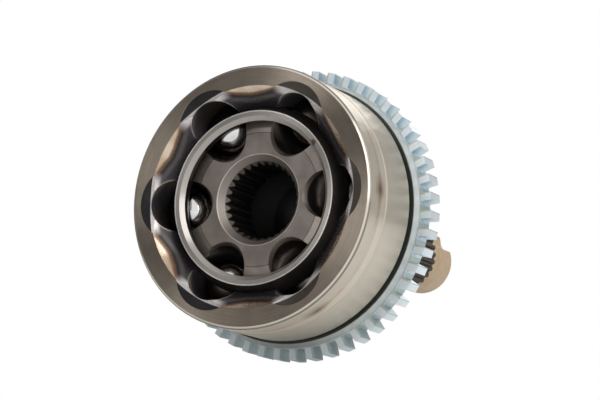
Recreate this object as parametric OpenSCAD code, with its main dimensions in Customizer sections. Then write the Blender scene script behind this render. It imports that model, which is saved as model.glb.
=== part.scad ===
// Fixed-ball constant-velocity joint with a toothed speed ring.
// The origin is the joint centre, where the axes of bell and inner race cross.
// +Y runs along the joint from the open mouth to the stub shaft, +Z is up.

/* [Bell] */
// Outside diameter of the bell
bell_d = 90; // [88:0.5:96]
// Distance from the joint centre to the mouth face
mouth_reach = 18.5; // [17.5:0.5:20]
// Chamfer on the outer edge of the mouth face
rim_chamfer = 1; // [0.4:0.1:2]
// Distance from the joint centre to the end of the ground outside
bell_rear = 13; // [11:0.5:14]
// Distance from the mouth face to the boot groove
groove_inset = 8.5; // [6:0.5:11]
// Width of the shallow boot groove
groove_w = 5; // [3:0.5:7]
// Depth of the boot groove
groove_depth = 0.2; // [0.1:0.1:0.6]
// Thickness of the wall between the ball cavity and the back shoulder
back_wall = 9; // [8:0.5:12]

/* [Mouth] */
// Diameter of the turned mouth cone at the face
mouth_d = 76; // [74:0.5:78]
// Slope of the mouth cone against the joint axis
mouth_slope = 45; // [42:1:48]
// Radius of each lobe of the mouth outline
lobe_r = 12.8; // [11:0.1:13.4]
// Distance of the lobe centres from the joint axis
lobe_centre_r = 29; // [27:0.5:30]
// Depth of the forged lobe flare at the face
lobe_depth = 1.1; // [0.6:0.1:2]

/* [Balls and tracks] */
// Greatest angle that the joint bends to either side
joint_angle = 46; // [42:0.5:46.5]
// Number of balls
ball_count = 6; // [6]
// Diameter of each ball
ball_d = 17.46; // [16.6:0.01:17.8]
// Diameter of the circle that the ball centres lie on
ball_circle_d = 63.2; // [62:0.1:64]
// Offset of each track centre from the joint centre
track_offset = 3.5; // [2.5:0.1:4]
// Gap between a ball and its tracks
track_gap = 0.15; // [0.1:0.01:0.3]

/* [Cage] */
// Diameter of the cage's outer sphere
cage_d = 67.6; // [66.8:0.1:68]
// Wall of the cage between its spheres
cage_wall = 4.3; // [3.8:0.1:4.6]
// Width of the cage along the joint
cage_w = 31.6; // [30:0.2:33]
// Wall of the cage at its two open ends
cage_end_wall = 3.2; // [2.6:0.1:4]
// Chamfer inside each open end of the cage
cage_chamfer = 1.4; // [0.6:0.1:1.6]
// Length of each ball window round the cage
window_l = 21.4; // [21:0.1:22]
// Corner radius of the ball windows
window_corner_r = 4.5; // [3:0.5:6]
// Gap between a ball and the flat sides of its window
window_gap = 0.35; // [0.3:0.01:0.4]
// Gap between the cage and the spheres on either side
sphere_gap = 0.2; // [0.1:0.01:0.3]

/* [Inner race] */
// Width of the inner race along the joint
race_w = 24; // [22:0.5:25]
// Diameter of the flat part of each end face
race_face_d = 46; // [42:0.5:50]
// Drop of the end face from its flat part to its rim
race_face_drop = 1; // [0.4:0.1:2]
// Number of teeth of the shaft splines
spline_teeth = 30; // [26:1:34]
// Diameter across the tips of the shaft splines
spline_minor_d = 25.2; // [24.4:0.1:25.8]
// Diameter across the bottoms of the shaft splines
spline_major_d = 27.4; // [26.4:0.1:28]
// Diameter of the countersink round the splined bore
sink_d = 31.2; // [30:0.2:32.4]
// Slope of the countersink against the joint axis
sink_slope = 36; // [30:1:45]

/* [Speed ring] */
// Number of teeth
ring_teeth = 50; // [44:1:54]
// Diameter of the bell's seat, which the ring is pressed on
ring_seat_d = 88; // [86:0.2:89]
// Wall of the ring at the collar's front edge
ring_collar_wall = 2; // [1.2:0.1:2.6]
// Wall of the ring at the bottoms of the tooth gaps
ring_root_wall = 3.4; // [2.8:0.1:4.5]
// Height of the teeth
ring_tooth_h = 3.6; // [2.5:0.1:4.5]
// Length of the collar in front of the teeth
ring_collar_l = 2.5; // [1:0.1:4]
// Length of the teeth along the joint
ring_tooth_l = 7.7; // [6:0.1:9]
// Width of a tooth at its tip
ring_tip_w = 2.7; // [2.2:0.1:3.2]
// Width of a tooth at its root
ring_root_w = 3.1; // [2.6:0.1:3.6]
// Turn of the ring on its seat
ring_turn = 1.8; // [0:0.1:7.2]
// Width of the dark undercut between bell and ring
undercut_w = 1.5; // [1:0.1:2.5]
// Depth of the undercut below the ring seat
undercut_depth = 1; // [0.5:0.1:2]

/* [Stub shaft] */
// Distance from the joint centre to the end of the stub
stub_reach = 128.5; // [120:0.5:135]
// Diameter of the shoulder that the wheel bearing rests on
shoulder_d = 46; // [40:1:52]
// Diameter of the plain journal behind the shoulder
journal_d = 30; // [29:0.5:33]
// Length of the plain journal
journal_l = 8; // [6:0.5:12]
// Number of teeth of the hub splines
hub_teeth = 28; // [24:1:32]
// Diameter across the tips of the hub splines
hub_major_d = 26.8; // [26:0.1:27.8]
// Diameter across the bottoms of the hub splines
hub_minor_d = 24.8; // [24.4:0.1:25.4]
// Diameter of the threaded end
thread_d = 24; // [22:0.5:24]
// Length of the threaded end
thread_l = 17; // [14:0.5:22]
// Diameter of the relief groove between splines and thread
relief_d = 21.6; // [20:0.2:22]
// Width of the relief groove
relief_w = 2; // [1.5:0.1:3]
// Radius of the round cutter that makes the locking flute
flute_r = 4.5; // [3:0.1:6]
// Depth of the locking flute below the thread's outside
flute_depth = 2.5; // [1.5:0.1:3]
// Length of the locking flute
flute_l = 15; // [10:0.5:17]
// Turn of the locking flute about the joint axis
flute_turn = -35; // [-180:1:180]

/* [Hidden] */
$fn = 96;

// Overlap that makes cuts run clear of a face.
over = 1;

// Half the angle between neighbouring balls.
half_pitch = 180 / ball_count;

// Circle that the ball centres follow, about a track centre.
track_r = sqrt(pow(ball_circle_d / 2, 2) + pow(track_offset, 2));
track_cut_r = ball_d / 2 + track_gap;
// Angles about a track centre: a ball at rest, then where the grinding wheel starts in
// front of the mouth and stops behind the ball's last place.
ball_rest_angle = asin(track_offset / track_r);
track_run_out = 5;
track_start_angle = -43;
track_end_angle = ball_rest_angle + joint_angle / 2 + track_run_out;
// The tracks of the inner race are open at both ends.
race_track_angle = 50;

// Speed ring, from the inside out: seat, collar, bottoms of the gaps, tips.
ring_seat_r = ring_seat_d / 2;
ring_collar_r = ring_seat_r + ring_collar_wall;
ring_root_r = ring_seat_r + ring_root_wall;
ring_tip_r = ring_root_r + ring_tooth_h;

// Spheres, from the outside in: bell bore, cage, inner race.
bell_bore_r = cage_d / 2 + sphere_gap;
cage_sphere_r = cage_d / 2 - cage_wall;
race_r = cage_sphere_r - sphere_gap;
// Rim of the cage's outer sphere at its two ends, and the bore inside it.
cage_end_r = sqrt(pow(cage_d / 2, 2) - pow(cage_w / 2, 2));
cage_bore_r = cage_end_r - cage_end_wall;

// Places along the joint, from the joint centre.
mouth_y = -mouth_reach;
ring_y = bell_rear + undercut_w;
ring_tooth_y = ring_y + ring_collar_l;
ring_end_y = ring_tooth_y + ring_tooth_l;
// The cavity's flat bottom clears the tilted inner race's corner.
cavity_gap = 0.9;
cavity_y = race_r + cavity_gap;
shoulder_y = cavity_y + back_wall;
journal_end_y = shoulder_y + journal_l;
journal_taper_l = 2;
hub_spline_y = journal_end_y + journal_taper_l;
thread_y = stub_reach - thread_l;
relief_y = thread_y - relief_w;

// Depth of the cone tool in the mouth, past the point where it breaks into the bore.
mouth_cone_l = 9;
// Back of the bell: a slope down to a flat web, and a raised shoulder.
web_w = 8;
web_slope = 4;
shoulder_l = 3;
// Small chamfers and the lead on the thread.
edge = 0.6;
thread_chamfer = 1.2;
// Centre hole in the end of the stub.
centre_hole_d = 6;
centre_hole_taper = 60;

// Share of its pitch that a spline tooth fills at its root and at its tip.
hub_shares = [0.62, 0.34];
shaft_shares = [0.72, 0.16];

window_h = ball_d + 2 * window_gap;

bell_steel = "#b9b2a6";
dark_steel = "#6f6963";
cage_steel = "#8f8d8b";
zinc = "#b8ccd8";
chrome = "#e4e6e8";

// Turns a shape so that it runs along +Y, with a ball on each side of the joint.
// The shapes are drawn along +Z, with the land between two balls on +X.
module along_joint() {
    rotate([-90, 0, 0]) rotate([0, 0, -half_pitch]) children();
}

// Copies a shape once for each ball, round the joint axis.
module per_ball() {
    for (i = [0 : ball_count - 1])
        rotate([0, 0, 2 * i * half_pitch + half_pitch]) children();
}

// Solid of revolution about the joint axis through [radius, place] points.
module turned(points) {
    rotate_extrude() polygon(points);
}

// Outline of straight-sided teeth, with one gap at angle 0. The flanks can run on
// beyond the tip radius, to reach past a round blank.
function tooth_points(count, root_r, tip_r, root_w, tip_w, beyond = 0) =
    let (pitch = 360 / count,
         end_r = tip_r + beyond,
         end_w = tip_w - (root_w - tip_w) * beyond / (tip_r - root_r),
         root_half = asin(root_w / 2 / root_r),
         end_half = asin(end_w / 2 / end_r))
    [for (i = [0 : count - 1], k = [-2, -1, 1, 2])
        let (wide = abs(k) == 2,
             r = wide ? root_r : end_r,
             half = (wide ? root_half : end_half) * sign(k),
             a = (i + 0.5) * pitch + half)
        [r * cos(a), r * sin(a)]];

// Tube that a ball sweeps along a track, from one angle to another.
module track_tube(centre_y, start, end) {
    translate([0, 0, centre_y])
        rotate([90, 0, 0])
            rotate([0, 0, start])
                rotate_extrude(angle = end - start)
                    translate([track_r, 0]) circle(r = track_cut_r);
}

// Rounded end of a bell track, where the grinding wheel stops.
module track_end() {
    translate([track_r * cos(track_end_angle), 0,
               -track_offset + track_r * sin(track_end_angle)])
        sphere(r = track_cut_r);
}

// Bell and stub before the cavity is cut.
module outer_blank() {
    bell_r = bell_d / 2;
    groove_y = mouth_y + groove_inset;
    groove_r = bell_r - groove_depth;
    web_r = shoulder_d / 2 + web_w;
    web_y = shoulder_y - shoulder_l;
    turned([
        [0, mouth_y],
        [bell_r - rim_chamfer, mouth_y],
        [bell_r, mouth_y + rim_chamfer],
        [bell_r, groove_y],
        [groove_r, groove_y + edge],
        [groove_r, groove_y + groove_w - edge],
        [bell_r, groove_y + groove_w],
        [bell_r, bell_rear - edge / 2],
        [bell_r - edge / 2, bell_rear],
        [ring_seat_r - undercut_depth, bell_rear],
        [ring_seat_r - undercut_depth, ring_y - edge / 2],
        [ring_seat_r, ring_y],
        [ring_seat_r, ring_end_y],
        [ring_seat_r - edge, ring_end_y + edge],
        [web_r + web_slope, web_y - edge],
        [web_r, web_y],
        [shoulder_d / 2 + edge, web_y],
        [shoulder_d / 2, web_y + edge],
        [shoulder_d / 2, shoulder_y - edge],
        [shoulder_d / 2 - edge, shoulder_y],
        [journal_d / 2 + edge, shoulder_y],
        [journal_d / 2, shoulder_y + edge],
        [journal_d / 2, journal_end_y],
        [hub_major_d / 2, hub_spline_y],
        [hub_major_d / 2, relief_y - edge],
        [hub_major_d / 2 - edge, relief_y],
        [relief_d / 2, relief_y + edge],
        [relief_d / 2, thread_y - edge],
        [thread_d / 2, thread_y + edge],
        [thread_d / 2, stub_reach - thread_chamfer],
        [thread_d / 2 - thread_chamfer, stub_reach],
        [0, stub_reach],
    ]);
}

// Turned cone of the mouth.
module mouth_cone_cut() {
    translate([0, 0, mouth_y - over])
        cylinder(h = mouth_cone_l + over,
                 r1 = mouth_d / 2 + over * tan(mouth_slope),
                 r2 = mouth_d / 2 - mouth_cone_l * tan(mouth_slope));
}

// Forged flare of the mouth at each track, which gives the mouth its wavy outline.
module mouth_lobes_cut() {
    flare = (lobe_r - track_cut_r) / lobe_depth;
    per_ball()
        translate([lobe_centre_r, 0, mouth_y - over])
            cylinder(h = over + lobe_depth, r1 = lobe_r + over * flare, r2 = track_cut_r);
}

// Spherical bore that the cage turns in, with a flat bottom.
module bore_cut() {
    intersection() {
        sphere(r = bell_bore_r);
        translate([0, 0, -bell_bore_r - over])
            cylinder(h = bell_bore_r + over + cavity_y, r = bell_bore_r + over);
    }
}

// Ball tracks of the bell, each with the rounded end that the grinding wheel leaves.
module bell_tracks_cut() {
    per_ball() {
        track_tube(-track_offset, track_start_angle, track_end_angle);
        track_end();
    }
}

// Gaps between the hub splines, cut out of the stub. The cutter runs on over the thread,
// which is thinner than the bottoms of the gaps.
module hub_spline_cut() {
    tooth_w = hub_shares * PI * hub_major_d / hub_teeth;
    translate([0, 0, hub_spline_y + edge])
        linear_extrude(stub_reach - hub_spline_y)
            difference() {
                circle(d = hub_major_d + 2 * over);
                polygon(tooth_points(hub_teeth, hub_minor_d / 2, hub_major_d / 2,
                                     tooth_w[0], tooth_w[1], edge / 2));
            }
}

// Flute that the nut's collar is staked into.
module flute_cut() {
    rotate([0, 0, flute_turn + half_pitch])
        translate([thread_d / 2 - flute_depth + flute_r, 0, stub_reach - flute_l])
            cylinder(h = flute_l + over, r = flute_r);
}

// Centre hole, for turning and grinding between centres.
module centre_hole_cut() {
    depth = centre_hole_d / 2 / tan(centre_hole_taper / 2);
    translate([0, 0, stub_reach - depth])
        cylinder(h = depth, r1 = 0, r2 = centre_hole_d / 2);
}

// Bell with six ball tracks, hub splines and threaded end, one forging.
module outer_race() {
    color(bell_steel)
        along_joint()
            difference() {
                outer_blank();
                mouth_cone_cut();
                mouth_lobes_cut();
                bore_cut();
                bell_tracks_cut();
                hub_spline_cut();
                flute_cut();
                centre_hole_cut();
            }
}

// Toothed ring for the wheel-speed sensor, pressed on the bell.
module tone_ring() {
    color(zinc)
        along_joint()
            rotate([0, 0, ring_turn])
                difference() {
                    union() {
                        translate([0, 0, ring_y])
                            cylinder(h = ring_collar_l + edge, r1 = ring_collar_r,
                                     r2 = ring_root_r - edge / 2);
                        translate([0, 0, ring_tooth_y])
                            linear_extrude(ring_tooth_l)
                                polygon(tooth_points(ring_teeth, ring_root_r, ring_tip_r,
                                                     ring_root_w, ring_tip_w));
                    }
                    translate([0, 0, ring_y - over])
                        cylinder(h = ring_collar_l + ring_tooth_l + 2 * over,
                                 r = ring_seat_r);
                }
}

// Rounded rectangle, for a ball window.
module window_outline() {
    l = window_l - 2 * window_corner_r;
    h = window_h - 2 * window_corner_r;
    square([l + 2 * window_corner_r, h], center = true);
    square([l, h + 2 * window_corner_r], center = true);
    for (x = [-l / 2, l / 2], y = [-h / 2, h / 2])
        translate([x, y]) circle(r = window_corner_r);
}

// Spherical ring that keeps the balls in the plane halving the joint angle.
module cage() {
    half = cage_w / 2;
    color(cage_steel)
        along_joint()
            difference() {
                intersection() {
                    sphere(d = cage_d);
                    translate([0, 0, -half]) cylinder(h = cage_w, d = cage_d);
                }
                sphere(r = cage_sphere_r);
                translate([0, 0, -half - over])
                    cylinder(h = cage_w + 2 * over, r = cage_bore_r);
                for (side = [-1, 1])
                    scale([1, 1, side])
                        translate([0, 0, half - cage_chamfer])
                            cylinder(h = cage_chamfer + over, r1 = cage_bore_r,
                                     r2 = cage_bore_r + cage_chamfer + over);
                per_ball()
                    rotate([90, 0, 90])
                        linear_extrude(cage_d) window_outline();
            }
}

// Star-shaped race with six tracks and a splined bore for the shaft.
module inner_race() {
    half = race_w / 2;
    rim_r = sqrt(pow(race_r, 2) - pow(half - race_face_drop, 2));
    sink_floor_d = spline_minor_d - over;
    sink_depth = (sink_d - sink_floor_d) / 2 / tan(sink_slope);
    space_w = shaft_shares * PI * spline_major_d / spline_teeth;
    color(dark_steel)
        along_joint()
            difference() {
                intersection() {
                    sphere(r = race_r);
                    turned([
                        [0, -half],
                        [race_face_d / 2, -half],
                        [rim_r, race_face_drop - half],
                        [race_r + over, race_face_drop - half],
                        [race_r + over, half - race_face_drop],
                        [rim_r, half - race_face_drop],
                        [race_face_d / 2, half],
                        [0, half],
                    ]);
                }
                per_ball()
                    track_tube(track_offset, -race_track_angle, race_track_angle);
                translate([0, 0, -half - over])
                    linear_extrude(race_w + 2 * over)
                        polygon(tooth_points(spline_teeth, spline_minor_d / 2, spline_major_d / 2,
                                             space_w[0], space_w[1]));
                for (side = [-1, 1])
                    scale([1, 1, side])
                        translate([0, 0, half - sink_depth])
                            cylinder(h = sink_depth + over, d1 = sink_floor_d,
                                     d2 = sink_d + 2 * over * tan(sink_slope));
            }
}

// One steel ball, in the track that lies index steps round the joint.
module ball(index) {
    color(chrome)
        along_joint()
            rotate([0, 0, (2 * index + 1) * half_pitch])
                translate([ball_circle_d / 2, 0, 0])
                    sphere(d = ball_d);
}

outer_race();
tone_ring();
cage();
inner_race();
ball(0);  // ball_1
ball(1);  // ball_2
ball(2);  // ball_3
ball(3);  // ball_4
ball(4);  // ball_5
ball(5);  // ball_6
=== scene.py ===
"""Looks for a fixed-ball constant-velocity joint: steel, zinc and chrome under soft light.

Lengths in the materials are millimetres, and everything else is in metres. The joint
centre is the origin, and +Y runs from the open mouth to the threaded end of the stub.
"""
import math

import bpy
from mathutils import Matrix, Vector


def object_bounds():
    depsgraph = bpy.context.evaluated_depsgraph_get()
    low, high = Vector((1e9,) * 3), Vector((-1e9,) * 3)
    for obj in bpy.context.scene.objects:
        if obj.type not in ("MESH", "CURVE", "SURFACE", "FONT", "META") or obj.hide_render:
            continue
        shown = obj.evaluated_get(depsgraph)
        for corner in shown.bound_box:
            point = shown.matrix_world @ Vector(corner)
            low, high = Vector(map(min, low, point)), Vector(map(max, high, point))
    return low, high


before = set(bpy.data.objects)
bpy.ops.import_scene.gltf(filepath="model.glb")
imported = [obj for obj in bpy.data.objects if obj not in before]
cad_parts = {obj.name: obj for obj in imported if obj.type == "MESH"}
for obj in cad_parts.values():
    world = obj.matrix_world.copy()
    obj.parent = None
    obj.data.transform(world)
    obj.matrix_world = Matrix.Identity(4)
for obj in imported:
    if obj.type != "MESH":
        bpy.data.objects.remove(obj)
cad_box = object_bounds()

# Places on the bell and its stub, in millimetres, as the CAD model has them.
BALLS = 6
MOUTH_Y = -18.5
MOUTH_CONE_R = 38.0
FLARE_R = 42.4
GROOVE_FRONT_Y = -10.0
GROOVE_BACK_Y = -5.0
BELL_REAR_Y = 13.0
UNDERCUT_R = 42.6
SHOULDER_Y = 39.2
THREAD_Y = 111.5
STUB_END_Y = 128.5
THREAD_PITCH = 1.5

# Cone that parts the inside of the bell from its back: there, radius + slope * y is the reach.
BACK_SLOPE = 0.8
BACK_REACH = 51.0

# Ball tracks of the bell: an arc round this centre on the axis, and the tube swept along it.
TRACK_CENTRE_Y = -3.5
TRACK_ARC_R = 31.8
TRACK_TUBE_R = 8.88

# Speed ring, and the teeth on it.
RING_Y = 14.5
RING_COLLAR_R = 46.0
RING_TEETH = 50
RING_TURN = -math.radians(1.8)
TOOTH_Y = 17.0
TOOTH_ROOT_R = 47.4
TOOTH_TIP_R = 51.0
TOOTH_ROOT_W = 3.1
TOOTH_TIP_W = 2.7

# Cage and inner race, whose ends lie as far in front of the joint's centre as behind it.
CAGE_END_Y = 15.8
CAGE_CHAMFER_R = 28.1
CAGE_RIM_R = 29.9
RACE_END_Y = 12.0
RACE_FACE_R = 23.0
SINK_R = 15.6
SPLINE_R = 13.7

# Marks of hardening and rust, and the radius past which the balls get painted shade.
HEAT_MARK_Y = MOUTH_Y + 7.6
HEAT_MARK_HALF_W = 5.5
HEAT_MARK_HALF_L = 4.2
RUST_ANGLE = 0.64
RUST_R = 28.2
BALL_SHADE_R = 31.5

# Heights of the bell's bumps, in depths of its turning marks.
THREAD_BUMP = 14.0
SKIN_BUMP = 6.0
SLOPE_BUMP = 230.0


class Graph:
    """The node tree of one material, with short calls for the usual nodes.

    A mask is a number that is 1 on a surface and 0 off it. Masks multiply to their overlap.
    """

    def __init__(self, name):
        self.material = bpy.data.materials.new(name)
        self.material.use_nodes = True
        self.tree = self.material.node_tree
        self.tree.nodes.clear()
        self.shader = self.node("ShaderNodeBsdfPrincipled")
        output = self.node("ShaderNodeOutputMaterial")
        self.link(self.shader.outputs["BSDF"], output.inputs["Surface"])
        coords = self.node("ShaderNodeTexCoord")
        millimetres = self.node("ShaderNodeVectorMath", operation="SCALE")
        millimetres.inputs["Scale"].default_value = 1000.0
        self.link(coords.outputs["Object"], millimetres.inputs[0])
        self.point = millimetres.outputs["Vector"]
        split = self.node("ShaderNodeSeparateXYZ")
        self.link(self.point, split.inputs[0])
        self.x, self.y, self.z = split.outputs
        self.radius = self.length(self.x, self.z)
        self.angle = self.math("ARCTAN2", self.z, self.x)

    def node(self, kind, **settings):
        made = self.tree.nodes.new(kind)
        for key, value in settings.items():
            setattr(made, key, value)
        return made

    def link(self, source, target):
        """Joins an output to an input, or sets the input to a plain value."""
        if isinstance(source, bpy.types.NodeSocket):
            self.tree.links.new(source, target)
        else:
            target.default_value = source

    def math(self, operation, *values):
        made = self.node("ShaderNodeMath", operation=operation)
        for value, socket in zip(values, made.inputs):
            self.link(value, socket)
        return made.outputs["Value"]

    def add(self, first, *others):
        total = first
        for other in others:
            total = self.math("ADD", total, other)
        return total

    def subtract(self, a, b):
        return self.math("SUBTRACT", a, b)

    def multiply(self, first, *others):
        product = first
        for other in others:
            product = self.math("MULTIPLY", product, other)
        return product

    def absolute(self, value):
        return self.math("ABSOLUTE", value)

    def length(self, a, b):
        """Length of a line that goes a one way and b across it."""
        return self.math("SQRT", self.add(self.multiply(a, a), self.multiply(b, b)))

    def step(self, value, low, high):
        """Rises smoothly from 0 at low to 1 at high, or falls where low is above high."""
        made = self.node("ShaderNodeMapRange", interpolation_type="SMOOTHSTEP")
        rising = low < high
        self.link(value, made.inputs["Value"])
        made.inputs["From Min"].default_value = low if rising else high
        made.inputs["From Max"].default_value = high if rising else low
        made.inputs["To Min"].default_value = 0.0 if rising else 1.0
        made.inputs["To Max"].default_value = 1.0 if rising else 0.0
        return made.outputs["Result"]

    def band(self, value, low, high, soft):
        """1 between low and high, and 0 outside, over soft edges."""
        return self.multiply(self.step(value, low - soft, low),
                             self.step(value, high + soft, high))

    def vector(self, x, y, z):
        made = self.node("ShaderNodeCombineXYZ")
        for value, socket in zip((x, y, z), made.inputs):
            self.link(value, socket)
        return made.outputs["Vector"]

    def noise(self, vector, scale, detail=3.0):
        made = self.node("ShaderNodeTexNoise")
        self.link(vector, made.inputs["Vector"])
        made.inputs["Scale"].default_value = scale
        made.inputs["Detail"].default_value = detail
        made.inputs["Roughness"].default_value = 0.55
        return made.outputs["Fac"]

    def sway(self, noise, span):
        """Noise moved to lie about zero, over a span."""
        return self.multiply(self.subtract(noise, 0.5), span)

    def mix(self, amount, a, b):
        """Colour a where amount is 0, and colour b where it is 1."""
        made = self.node("ShaderNodeMix", data_type="RGBA")
        self.link(amount, made.inputs[0])
        self.link(a, made.inputs[6])
        self.link(b, made.inputs[7])
        return made.outputs[2]

    def lay(self, colour, mask, new, strength=1.0):
        """Lays a new colour over an old one where the mask is 1."""
        amount = mask if strength == 1.0 else self.multiply(mask, strength)
        return self.mix(amount, colour, new)

    def lerp(self, amount, a, b):
        """Number a where amount is 0, and number b where it is 1."""
        made = self.node("ShaderNodeMix", data_type="FLOAT")
        self.link(amount, made.inputs[0])
        self.link(a, made.inputs[2])
        self.link(b, made.inputs[3])
        return made.outputs[0]

    def shade(self, colour, factor):
        """Brightens or darkens a colour by a number."""
        made = self.node("ShaderNodeVectorMath", operation="SCALE")
        self.link(colour, made.inputs[0])
        self.link(factor, made.inputs["Scale"])
        return made.outputs["Vector"]

    def turning_marks(self, per_mm):
        """Fine lines round the joint axis, as a lathe or a grinding wheel leaves them."""
        slow_angle = self.multiply(self.angle, 0.4)
        lines = self.vector(self.radius, self.y, slow_angle)
        return self.noise(lines, per_mm, detail=4.0)

    def turned_gloss(self, amount):
        """Stretches highlights across the turning marks, into fans on a flat face."""
        tangent = self.node("ShaderNodeTangent", direction_type="RADIAL", axis="Y")
        self.link(tangent.outputs["Tangent"], self.shader.inputs["Tangent"])
        self.shader.inputs["Anisotropic"].default_value = amount
        self.shader.inputs["Anisotropic Rotation"].default_value = 0.25

    def finish(self, colour, roughness, metallic, bump, depth_mm):
        """Joins the results to the shader, with the bump's height in depths of depth_mm."""
        self.link(colour, self.shader.inputs["Base Color"])
        self.link(roughness, self.shader.inputs["Roughness"])
        self.link(metallic, self.shader.inputs["Metallic"])
        made = self.node("ShaderNodeBump")
        made.inputs["Distance"].default_value = depth_mm / 1000.0
        self.link(bump, made.inputs["Height"])
        self.link(made.outputs["Normal"], self.shader.inputs["Normal"])
        return self.material


def srgb(red, green, blue):
    """Linear colour of an 8-bit screen colour."""
    def linear(value):
        part = value / 255.0
        return part / 12.92 if part <= 0.04045 else ((part + 0.055) / 1.055) ** 2.4
    return (linear(red), linear(green), linear(blue), 1.0)


class Bell(Graph):
    """Node tree of the bell and its stub, with a mask for each of their surfaces."""

    def __init__(self):
        super().__init__("bell_steel")
        radius, y = self.radius, self.y
        self.marks = self.turning_marks(9.0)
        self.cloud = self.noise(self.point, 0.09, detail=4.0)
        self.grain = self.noise(self.point, 2.2, detail=5.0)
        self.bloom = self.noise(self.point, 0.16)
        half_lobe = math.pi / BALLS
        self.off_lobe = self.math("WRAP", self.angle, half_lobe, -half_lobe)

        # 1 in the middle of each lobe, and -1 in the middle of each land between two.
        self.lobes = self.math("COSINE", self.multiply(self.angle, float(BALLS)))

        self.behind_face = self.step(y, MOUTH_Y + 0.02, MOUTH_Y + 0.06)
        reach = self.add(radius, self.multiply(y, BACK_SLOPE))
        self.inside = self.multiply(self.behind_face,
                                    self.step(radius, FLARE_R + 0.3, FLARE_R),
                                    self.step(reach, BACK_REACH + 0.5, BACK_REACH - 0.5))
        self.flare = self.multiply(self.behind_face,
                                   self.step(y, MOUTH_Y + 1.6, MOUTH_Y + 1.3),
                                   self.step(radius, MOUTH_CONE_R - 1.4, MOUTH_CONE_R - 1.0),
                                   self.step(radius, FLARE_R + 0.6, FLARE_R + 0.2))
        off_cone = self.absolute(self.subtract(self.add(radius, y), MOUTH_CONE_R + MOUTH_Y))
        self.cone = self.multiply(self.behind_face,
                                  self.step(off_cone, 0.16, 0.08),
                                  self.step(radius, MOUTH_CONE_R + 0.1, MOUTH_CONE_R))
        self.flare_floor = self.multiply(self.flare, self.subtract(1.0, self.cone))
        self.back = self.step(reach, BACK_REACH - 0.5, BACK_REACH + 0.5)
        self.forged_back = self.multiply(self.back,
                                         self.step(y, BELL_REAR_Y + 8.0, BELL_REAR_Y + 9.0))
        self.gold = self.step(y, THREAD_Y - 2.2, THREAD_Y - 1.6)

        # The turned cone is painted cream at the rim of each land, a painted reflection.
        streak_point = self.vector(self.multiply(self.angle, 5.0),
                                   self.multiply(radius, 0.25), 0.0)
        self.streaks = self.noise(streak_point, 1.0, detail=1.0)
        on_land = self.math("MAXIMUM", self.multiply(self.lobes, -1.0), 0.0)
        self.from_rim = self.add(self.subtract(radius, MOUTH_CONE_R),
                                 self.multiply(on_land, 2.0), self.sway(self.streaks, 0.8))
        self.cream_reflection = self.multiply(self.cone, self.step(self.from_rim, -0.3, 0.6))

    def face_colour(self):
        """Face of the mouth, brownish grey with turning marks and darker clouds."""
        colour = self.mix(self.step(self.marks, 0.35, 0.65),
                          srgb(143, 132, 120), srgb(155, 144, 131))
        return self.lay(colour, self.step(self.cloud, 0.4, 0.65), srgb(116, 107, 96), 0.4)

    def side_colour(self):
        """Ground outside, warm grey, with a shallow groove and a rim chamfer painted darker
        with a thin painted highlight.
        """
        y = self.y
        colour = self.mix(self.cloud, srgb(198, 189, 174), srgb(214, 206, 192))
        colour = self.shade(colour, self.lerp(self.step(y, -4.0, 11.0), 1.0, 0.88))
        groove = self.band(y, GROOVE_FRONT_Y + 0.4, GROOVE_BACK_Y - 0.4, 0.5)
        colour = self.lay(colour, groove, srgb(218, 209, 194))
        # The groove's slopes are painted darker, a painted shade.
        groove_slope_shade = self.add(self.band(y, GROOVE_FRONT_Y + 0.1, GROOVE_FRONT_Y + 0.5, 0.3),
                          self.band(y, GROOVE_BACK_Y - 0.5, GROOVE_BACK_Y - 0.1, 0.3))
        colour = self.lay(colour, groove_slope_shade, srgb(150, 136, 116), 0.25)
        tan_line = self.multiply(self.band(y, GROOVE_FRONT_Y - 1.4, GROOVE_FRONT_Y - 0.5, 1.0),
                                 self.step(self.cloud, 0.35, 0.65))
        colour = self.lay(colour, tan_line, srgb(186, 148, 112), 0.5)
        # The rim chamfer is painted darker as painted shade, with a thin painted highlight
        # along it.
        rim_highlight = self.step(self.absolute(self.subtract(y, MOUTH_Y + 0.3)), 0.4, 0.15)
        rim_shade_and_highlight = self.mix(rim_highlight, srgb(132, 125, 114), srgb(212, 205, 194))
        return self.lay(colour, self.step(y, MOUTH_Y + 1.3, MOUTH_Y + 0.9), rim_shade_and_highlight)

    def add_heat_marks(self, colour):
        """Brown mark beside each track, where the bell was hardened."""
        across = self.multiply(self.radius, self.off_lobe, 1.0 / HEAT_MARK_HALF_W)
        along = self.multiply(self.subtract(self.y, HEAT_MARK_Y), 1.0 / HEAT_MARK_HALF_L)
        away = self.add(self.length(across, along), self.sway(self.cloud, 1.2))
        colour = self.lay(colour, self.step(away, 1.3, 0.0), srgb(134, 108, 82), 0.8)
        core = self.step(self.add(away, self.sway(self.grain, 0.6)), 0.6, -0.1)
        return self.lay(colour, core, srgb(92, 70, 52), 0.5)

    def off_track(self):
        """Distance from the centre line of the nearest track, an arc in its own plane."""
        along = self.multiply(self.radius, self.math("COSINE", self.off_lobe))
        across = self.multiply(self.radius, self.math("SINE", self.off_lobe))
        from_centre = self.length(along, self.subtract(self.y, TRACK_CENTRE_Y))
        return self.length(self.subtract(from_centre, TRACK_ARC_R), across)

    def cavity_colour(self, off_track):
        """Dark lands with a blue and brown bloom, and polished tracks, with painted shade that
        darkens them further in.
        """
        blue = self.step(self.bloom, 0.4, 0.6)
        lands = self.mix(blue, srgb(80, 72, 66), srgb(68, 68, 76))
        tracks = self.mix(blue, srgb(88, 78, 71), srgb(74, 74, 82))
        on_track = self.step(off_track, TRACK_TUBE_R + 0.12, TRACK_TUBE_R + 0.04)
        colour = self.lay(lands, on_track, tracks)
        # Painted shade, darker further into the bell.
        return self.lay(colour, self.step(self.y, -8.0, 4.0), srgb(26, 24, 23))

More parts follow.
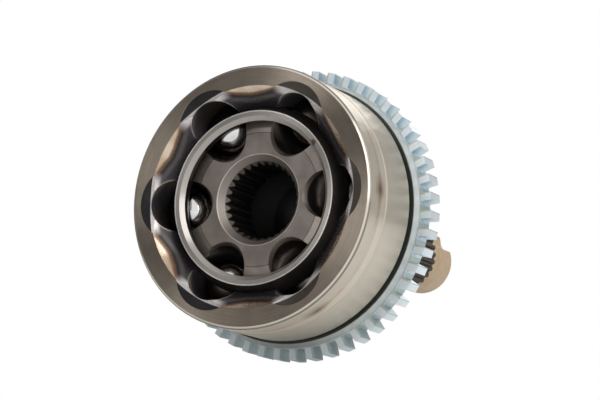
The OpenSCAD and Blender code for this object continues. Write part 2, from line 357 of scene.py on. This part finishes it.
    def flare_colour(self):
        """Forged skin of the lobes, nearly black, with painted light that makes it lighter and
        browner towards +X, the right-hand lamp's side.
        """
        colour = self.mix(self.step(self.x, -25.0, 25.0), srgb(27, 27, 30), srgb(72, 66, 60))
        return self.lay(colour, self.step(self.bloom, 0.4, 0.65), srgb(52, 46, 42), 0.4)

    def lilac_colour(self):
        """Turned cone beside a flare, painted very light as a painted reflection, with specks
        of dark scale.
        """
        scale = self.step(self.grain, 0.56, 0.66)
        return self.lay(srgb(214, 208, 206), scale, srgb(110, 104, 104), 0.5)

    def cone_colour(self, lilac_reflection):
        """Turned cone: painted cream reflection, brown and dark bluish grey on the lands, and
        a painted bright reflection in the lobes.
        """
        land = self.mix(self.step(self.from_rim, -3.2, -2.2),
                        srgb(46, 43, 46), srgb(78, 73, 72))
        land = self.lay(land, self.step(self.from_rim, -1.9, -1.2), srgb(44, 41, 44))
        land = self.lay(land, self.step(self.from_rim, -1.0, -0.3), srgb(112, 82, 60))
        cream_colour = self.mix(self.step(self.streaks, 0.35, 0.65),
                                srgb(190, 168, 144), srgb(216, 201, 182))
        land = self.lay(land, self.cream_reflection, cream_colour)
        near_rim = self.step(self.radius, MOUTH_CONE_R - 2.4, MOUTH_CONE_R - 1.2)
        lobe = self.mix(near_rim, srgb(70, 66, 69), lilac_reflection)
        return self.mix(self.step(self.lobes, -0.35, 0.5), land, lobe)

    def add_stub(self, colour):
        """Dark forged back and splines, a bright journal and a golden threaded end."""
        forging = self.mix(self.grain, srgb(70, 66, 62), srgb(104, 99, 94))
        colour = self.lay(colour, self.forged_back, forging)
        journal = self.multiply(self.back,
                                self.band(self.y, SHOULDER_Y - 0.1, SHOULDER_Y + 8.0, 0.3))
        colour = self.lay(colour, journal, srgb(176, 170, 160))
        gold_colour = self.mix(self.noise(self.point, 0.14),
                               srgb(172, 146, 114), srgb(218, 197, 168))
        return self.lay(colour, self.gold, gold_colour)

    def roughness(self):
        """Smoothest on the turned cone, and roughest on the forged back."""
        value = self.lerp(self.behind_face, 0.31, 0.3)
        value = self.lerp(self.inside, value, 0.42)
        value = self.lerp(self.flare, value, 0.5)
        value = self.lerp(self.cone, value, 0.26)
        value = self.lerp(self.forged_back, value, 0.55)
        value = self.lerp(self.gold, value, 0.4)
        return self.add(value, self.sway(self.grain, 0.12))

    def bumps(self):
        """Turning marks, screw thread, forged skin and the slope beside each flare."""
        turns = self.multiply(self.y, 2.0 * math.pi / THREAD_PITCH)
        helix = self.math("SINE", self.add(turns, self.angle))
        thread = self.multiply(self.gold, self.step(self.y, THREAD_Y, THREAD_Y + 0.5),
                               self.step(self.y, STUB_END_Y, STUB_END_Y - 0.5),
                               self.multiply(helix, THREAD_BUMP))
        forged = self.add(self.flare, self.multiply(self.forged_back, 2.0))
        skin = self.multiply(forged, self.multiply(self.grain, SKIN_BUMP))
        slope = self.multiply(self.flare_floor,
                              self.step(self.radius, MOUTH_CONE_R - 1.6, MOUTH_CONE_R + 0.8),
                              SLOPE_BUMP)
        return self.add(self.marks, thread, skin, slope)


def bell_material():
    """Ground bell, turned mouth, forged flares, tracks, dark splines and golden thread."""
    g = Bell()
    off_track = g.off_track()
    lilac_reflection = g.lilac_colour()
    colour = g.mix(g.behind_face, g.face_colour(), g.add_heat_marks(g.side_colour()))
    colour = g.lay(colour, g.inside, g.cavity_colour(off_track))
    colour = g.lay(colour, g.flare, g.flare_colour())
    colour = g.lay(colour, g.cone, g.cone_colour(lilac_reflection))

    # In the lobes the turned cone goes on round the flare as a narrow ring, painted with the
    # same light painted reflection.
    ring = g.multiply(g.flare_floor, g.step(g.radius, MOUTH_CONE_R + 0.5, MOUTH_CONE_R + 0.2))
    colour = g.lay(colour, ring, lilac_reflection)

    # Thin bright line painted along the edge of each track, a painted highlight.
    track_edge_highlight = g.multiply(g.behind_face, g.step(g.y, -13.0, -14.0),
                            g.band(off_track, TRACK_TUBE_R + 0.02, TRACK_TUBE_R + 0.28, 0.1),
                            g.step(g.radius, MOUTH_CONE_R + 0.6, MOUTH_CONE_R))
    colour = g.lay(colour, track_edge_highlight, srgb(170, 160, 148), 0.45)

    # Painted shade in the undercut in front of the speed ring.
    undercut_shade = g.multiply(g.band(g.y, BELL_REAR_Y - 0.5, BELL_REAR_Y + 1.6, 0.1),
                          g.step(g.radius, UNDERCUT_R, UNDERCUT_R + 0.2))
    colour = g.lay(colour, undercut_shade, srgb(74, 78, 70))
    colour = g.add_stub(colour)
    colour = g.shade(colour, g.add(0.9, g.multiply(g.marks, 0.2)))

    metallic = g.lerp(g.subtract(g.inside, g.cream_reflection), 0.95, 0.6)
    metallic = g.lerp(g.gold, metallic, 0.4)
    g.turned_gloss(0.92)
    return g.finish(colour, g.roughness(), metallic, bump=g.bumps(), depth_mm=0.008)


def zinc_material():
    """Bluish-white zinc plating, with painted highlights on the edges of the ring's teeth and
    bluer flanks.
    """
    g = Graph("zinc_plate")
    radius = g.radius
    cloud = g.noise(g.point, 0.12, detail=4.0)
    grain = g.noise(g.point, 3.0, detail=4.0)
    collar = g.mix(g.step(cloud, 0.3, 0.7), srgb(186, 192, 192), srgb(202, 206, 204))
    fronts = g.mix(g.step(grain, 0.4, 0.62), srgb(172, 186, 187), srgb(198, 210, 209))
    colour = g.lay(collar, g.step(radius, TOOTH_ROOT_R - 0.5, TOOTH_ROOT_R - 0.1), fronts)

    # Depth inside the nearest tooth, which narrows from its root to its tip.
    half_pitch = math.pi / RING_TEETH
    off_tooth = g.math("WRAP", g.subtract(g.angle, RING_TURN), half_pitch, -half_pitch)
    rise = g.multiply(g.subtract(radius, TOOTH_ROOT_R), 1.0 / (TOOTH_TIP_R - TOOTH_ROOT_R))
    half_width = g.lerp(rise, TOOTH_ROOT_W / 2.0, TOOTH_TIP_W / 2.0)
    in_tooth = g.subtract(half_width, g.absolute(g.multiply(off_tooth, radius)))

    flank = g.multiply(g.step(in_tooth, 0.06, 0.03),
                       g.step(radius, TOOTH_ROOT_R - 0.4, TOOTH_ROOT_R - 0.1))
    flank_colour = g.mix(g.step(g.y, TOOTH_Y + 0.5, TOOTH_Y + 5.0),
                         srgb(174, 200, 216), srgb(216, 231, 237))
    colour = g.lay(colour, flank, flank_colour)
    # Pale lines on the tooth edges are painted highlights.
    tip_edge = g.multiply(flank, g.step(radius, TOOTH_TIP_R - 0.4, TOOTH_TIP_R - 0.15))
    front_edge = g.multiply(flank, g.step(g.y, TOOTH_Y + 0.35, TOOTH_Y + 0.15))
    side_edge = g.multiply(g.band(in_tooth, 0.06, 0.26, 0.06),
                           g.step(radius, TOOTH_ROOT_R - 0.2, TOOTH_ROOT_R + 0.2))
    tooth_edge_highlights = g.math("MAXIMUM", side_edge, g.math("MAXIMUM", tip_edge, front_edge))
    colour = g.lay(colour, tooth_edge_highlights, srgb(236, 243, 246), 0.75)

    # Front of the collar in the gap behind the bell, painted dark as painted shade.
    collar_gap_shade = g.multiply(g.step(g.y, RING_Y + 0.1, RING_Y + 0.04),
                     g.step(radius, RING_COLLAR_R - 0.1, RING_COLLAR_R - 0.4))
    colour = g.lay(colour, collar_gap_shade, srgb(74, 78, 72))
    colour = g.shade(colour, g.add(0.93, g.multiply(grain, 0.14)))
    roughness = g.lerp(grain, 0.3, 0.48)
    return g.finish(colour, roughness, 0.55, bump=grain, depth_mm=0.006)


def cage_material():
    """Turned cage, light on its machined ends and dark on its hardened sphere."""
    g = Graph("cage_steel")
    marks = g.turning_marks(8.0)
    cloud = g.noise(g.point, 0.15, detail=4.0)
    grain = g.noise(g.point, 1.4, detail=4.0)
    from_middle = g.absolute(g.y)
    end = g.step(from_middle, CAGE_END_Y - 0.14, CAGE_END_Y - 0.04)
    chamfer = g.multiply(g.step(from_middle, CAGE_END_Y - 1.6, CAGE_END_Y - 1.4),
                         g.step(g.radius, CAGE_CHAMFER_R + 0.1, CAGE_CHAMFER_R))
    colour = g.mix(cloud, srgb(74, 70, 68), srgb(104, 98, 94))
    colour = g.lay(colour, end, g.mix(marks, srgb(150, 144, 138), srgb(182, 176, 169)))
    colour = g.lay(colour, chamfer, srgb(172, 167, 162))
    # Thin pale line at the outer edge of each end is a painted highlight.
    rim = g.multiply(end, g.step(g.radius, CAGE_RIM_R - 0.5, CAGE_RIM_R - 0.3))
    colour = g.lay(colour, rim, srgb(236, 232, 227), 0.9)
    specks = g.multiply(end, g.step(grain, 0.64, 0.68))
    colour = g.lay(colour, specks, srgb(64, 54, 48), 0.7)
    off_rust = g.length(g.multiply(g.subtract(g.angle, RUST_ANGLE), g.radius),
                        g.subtract(g.radius, RUST_R))
    rust = g.step(g.add(off_rust, grain), 1.7, 1.3)
    colour = g.lay(colour, rust, srgb(92, 66, 50), 0.85)
    roughness = g.lerp(end, 0.3, 0.34)
    g.turned_gloss(0.7)
    return g.finish(colour, roughness, 0.95, bump=marks, depth_mm=0.006)


def race_material():
    """Hardened inner race, brownish grey, with dark tracks and a lighter countersink."""
    g = Graph("race_steel")
    marks = g.turning_marks(6.0)
    cloud = g.noise(g.point, 0.12, detail=4.0)
    grain = g.noise(g.point, 2.6, detail=5.0)
    from_middle = g.absolute(g.y)
    near_end = g.step(from_middle, RACE_END_Y - 0.4, RACE_END_Y - 0.3)
    colour = g.mix(g.step(cloud, 0.3, 0.7), srgb(119, 111, 105), srgb(140, 131, 124))
    # The bore is painted dark as painted shade inside the hole, and its spline teeth are
    # lighter near each end.
    bore = g.multiply(g.step(g.radius, SINK_R + 0.1, SINK_R),
                      g.step(from_middle, RACE_END_Y - 0.02, RACE_END_Y - 0.1))
    colour = g.lay(colour, bore, srgb(72, 68, 65))
    sink = g.multiply(bore, g.step(g.radius, SPLINE_R - 0.1, SPLINE_R + 0.1))
    colour = g.lay(colour, sink, srgb(152, 144, 137))
    # Thin bright line at the countersink's edge, a painted highlight.
    sink_edge_highlight = g.multiply(near_end, g.band(g.radius, SINK_R - 0.12, SINK_R + 0.12, 0.1))
    colour = g.lay(colour, sink_edge_highlight, srgb(206, 199, 190), 0.8)
    face_edge = g.multiply(near_end,
                           g.band(g.radius, RACE_FACE_R - 0.1, RACE_FACE_R + 0.1, 0.12))
    colour = g.lay(colour, face_edge, srgb(66, 60, 57), 0.7)
    spline_ends = g.multiply(bore, g.step(from_middle, RACE_END_Y - 4.9, RACE_END_Y - 4.5),
                             g.step(g.radius, SPLINE_R + 0.1, SPLINE_R - 0.1))
    colour = g.lay(colour, spline_ends, srgb(104, 98, 92))
    tracks = g.multiply(g.step(from_middle, RACE_END_Y - 1.2, RACE_END_Y - 1.6),
                        g.step(g.radius, SINK_R + 0.4, SINK_R + 0.6))
    colour = g.lay(colour, tracks, g.mix(cloud, srgb(64, 59, 55), srgb(92, 84, 78)))
    colour = g.shade(colour, g.add(0.92, g.multiply(marks, 0.16)))
    roughness = g.lerp(tracks, g.add(0.42, g.sway(grain, 0.16)), 0.27)
    return g.finish(colour, roughness, 0.92, bump=g.add(marks, grain), depth_mm=0.007)


def ball_material():
    """Polished bearing steel with a film of oil, and painted shade on the outer side of each
    ball, where it runs in the bell.
    """
    g = Graph("ball_chrome")
    film = g.noise(g.point, 0.35)
    colour = g.mix(film, srgb(204, 203, 202), srgb(228, 228, 228))
    # Dark colour on the outer side of each ball is painted shade that hides its reflections.
    ball_outer_shade = g.step(g.add(g.radius, g.multiply(film, 2.0)), BALL_SHADE_R, BALL_SHADE_R + 1.5)
    colour = g.lay(colour, ball_outer_shade, srgb(74, 69, 64))
    roughness = g.lerp(g.step(film, 0.4, 0.7), 0.07, 0.15)
    roughness = g.lerp(ball_outer_shade, roughness, 0.35)
    return g.finish(colour, roughness, 1.0, bump=film, depth_mm=0.002)


def dress(node, material):
    """Gives a CAD node a material of this script in place of its own."""
    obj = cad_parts[node]
    for slot in obj.material_slots:
        slot.material = material
    if not obj.material_slots:
        obj.data.materials.append(material)


def floor_material():
    """Pale floor that can't be seen from below, where the photograph's camera stands."""
    material = bpy.data.materials.new("pale_floor")
    material.use_nodes = True
    tree = material.node_tree
    shader = tree.nodes["Principled BSDF"]
    shader.inputs["Base Color"].default_value = (0.86, 0.86, 0.86, 1.0)
    shader.inputs["Roughness"].default_value = 0.7

    # Metal mirrors the floor as nearly white, and the floor keeps its shadow.
    path = tree.nodes.new("ShaderNodeLightPath")
    mirrored = tree.nodes.new("ShaderNodeMath")
    mirrored.operation = "MULTIPLY"
    mirrored.inputs[1].default_value = 0.22
    tree.links.new(path.outputs["Is Glossy Ray"], mirrored.inputs[0])
    shader.inputs["Emission Color"].default_value = (1.0, 1.0, 1.0, 1.0)
    tree.links.new(mirrored.outputs["Value"], shader.inputs["Emission Strength"])

    # The underside is clear.
    output = tree.nodes["Material Output"]
    clear = tree.nodes.new("ShaderNodeBsdfTransparent")
    geometry = tree.nodes.new("ShaderNodeNewGeometry")
    choose = tree.nodes.new("ShaderNodeMixShader")
    tree.links.new(geometry.outputs["Backfacing"], choose.inputs[0])
    tree.links.new(shader.outputs["BSDF"], choose.inputs[1])
    tree.links.new(clear.outputs["BSDF"], choose.inputs[2])
    tree.links.new(choose.outputs["Shader"], output.inputs["Surface"])
    return material


def stage_mesh(name, corners, faces, material):
    """Makes a mesh that belongs to the stage and not to the object."""
    mesh = bpy.data.meshes.new(name)
    mesh.from_pydata(corners, [], faces)
    mesh.materials.append(material)
    made = bpy.data.objects.new(name, mesh)
    bpy.context.scene.collection.objects.link(made)
    return made


def make_floor():
    """Square floor, a hair below the object."""
    half = 6.0
    height = cad_box[0][2] - 0.0002
    corners = [(-half, -half, height), (half, -half, height),
               (half, half, height), (-half, half, height)]
    stage_mesh("floor", corners, [(0, 1, 2, 3)], floor_material())


def make_card(name, azimuths, elevations, grey):
    """Curved grey card round the object, which metal mirrors and the camera doesn't see.

    Angles are in degrees, with azimuth 0 towards +X and 90 towards +Y.
    """
    distance = 3.0
    across, up = 16, 8
    corners = []
    for j in range(up + 1):
        elevation = math.radians(elevations[0] + (elevations[1] - elevations[0]) * j / up)
        for i in range(across + 1):
            azimuth = math.radians(azimuths[0] + (azimuths[1] - azimuths[0]) * i / across)
            corners.append((distance * math.cos(elevation) * math.cos(azimuth),
                            distance * math.cos(elevation) * math.sin(azimuth),
                            distance * math.sin(elevation)))
    faces = []
    for j in range(up):
        for i in range(across):
            first = j * (across + 1) + i
            faces.append((first, first + 1, first + across + 2, first + across + 1))
    material = bpy.data.materials.new(name)
    material.use_nodes = True
    tree = material.node_tree
    tree.nodes.remove(tree.nodes["Principled BSDF"])
    glow = tree.nodes.new("ShaderNodeEmission")
    glow.inputs["Color"].default_value = (grey, grey, grey, 1.0)
    tree.links.new(glow.outputs["Emission"], tree.nodes["Material Output"].inputs["Surface"])
    card = stage_mesh(name, corners, faces, material)
    card.visible_camera = False
    card.visible_shadow = False


def make_cards():
    """Dark side of the room where the camera stands, and greys that shape the metal."""
    make_card("camera_side_card", (205, 292), (-12, 52), 0.16)
    make_card("left_card", (132, 205), (-8, 72), 0.2)
    make_card("far_card", (44, 92), (-6, 38), 0.3)


def make_world():
    """White room: full white where it is seen or mirrored, and softer as a light."""
    world = bpy.data.worlds.new("studio")
    bpy.context.scene.world = world
    world.use_nodes = True
    tree = world.node_tree
    background = tree.nodes["Background"]
    path = tree.nodes.new("ShaderNodeLightPath")
    seen = path.outputs["Is Camera Ray"]
    for ray in ("Is Glossy Ray", "Is Transmission Ray"):
        either = tree.nodes.new("ShaderNodeMath")
        either.operation = "MAXIMUM"
        tree.links.new(seen, either.inputs[0])
        tree.links.new(path.outputs[ray], either.inputs[1])
        seen = either.outputs["Value"]
    level = tree.nodes.new("ShaderNodeMapRange")
    level.inputs["To Min"].default_value = 0.9
    level.inputs["To Max"].default_value = 1.0
    tree.links.new(seen, level.inputs["Value"])
    tree.links.new(level.outputs["Result"], background.inputs["Color"])
    background.inputs["Strength"].default_value = 1.0


def area_light(name, direction, distance, size, brightness):
    """Soft rectangular lamp that faces the object, as bright as that many white cards."""
    lamp = bpy.data.lights.new(name, "AREA")
    lamp.shape = "RECTANGLE"
    lamp.size, lamp.size_y = size
    lamp.energy = brightness * math.pi * size[0] * size[1]
    obj = bpy.data.objects.new(name, lamp)
    outward = Vector(direction).normalized()
    obj.location = outward * distance
    obj.rotation_euler = (-outward).to_track_quat("-Z", "Y").to_euler()
    bpy.context.scene.collection.objects.link(obj)


def make_lights():
    """One large lamp at the right, two small near ones for the mouth, and one behind."""
    area_light("right_softbox", (0.78, -0.40, 0.42), 1.3, (0.5, 1.1), 2.6)
    area_light("upper_softbox", (-0.24, -0.79, 0.56), 0.75, (0.14, 0.13), 10.0)
    area_light("camera_softbox", (-0.08, -0.99, 0.02), 0.75, (0.12, 0.3), 8.0)
    area_light("rim_softbox", (-0.10, 0.875, 0.47), 1.5, (0.42, 0.34), 2.4)


def make_camera():
    """Camera that looks up at the mouth from its front right, as the photograph does."""
    right = Vector((0.89338, 0.44915, 0.01165))
    up = Vector((0.07719, -0.17899, 0.98082))
    back = right.cross(up)
    place = Vector((0.34046, -0.65350, -0.14410))
    camera = bpy.data.cameras.new("camera")
    camera.lens = 132.0
    camera.sensor_width = 36.0
    camera.clip_start = 0.05
    camera.clip_end = 20.0
    obj = bpy.data.objects.new("camera", camera)
    turn = Matrix((right, up, back)).transposed().to_4x4()
    obj.matrix_world = Matrix.Translation(place) @ turn
    bpy.context.scene.collection.objects.link(obj)
    bpy.context.scene.camera = obj


dress("outer_race", bell_material())
dress("tone_ring", zinc_material())
dress("cage", cage_material())
dress("inner_race", race_material())
chrome = ball_material()
for number in range(1, BALLS + 1):
    dress(f"ball_{number}", chrome)

make_floor()
make_cards()
make_world()
make_lights()
make_camera()
bpy.context.scene.view_settings.view_transform = "Standard"
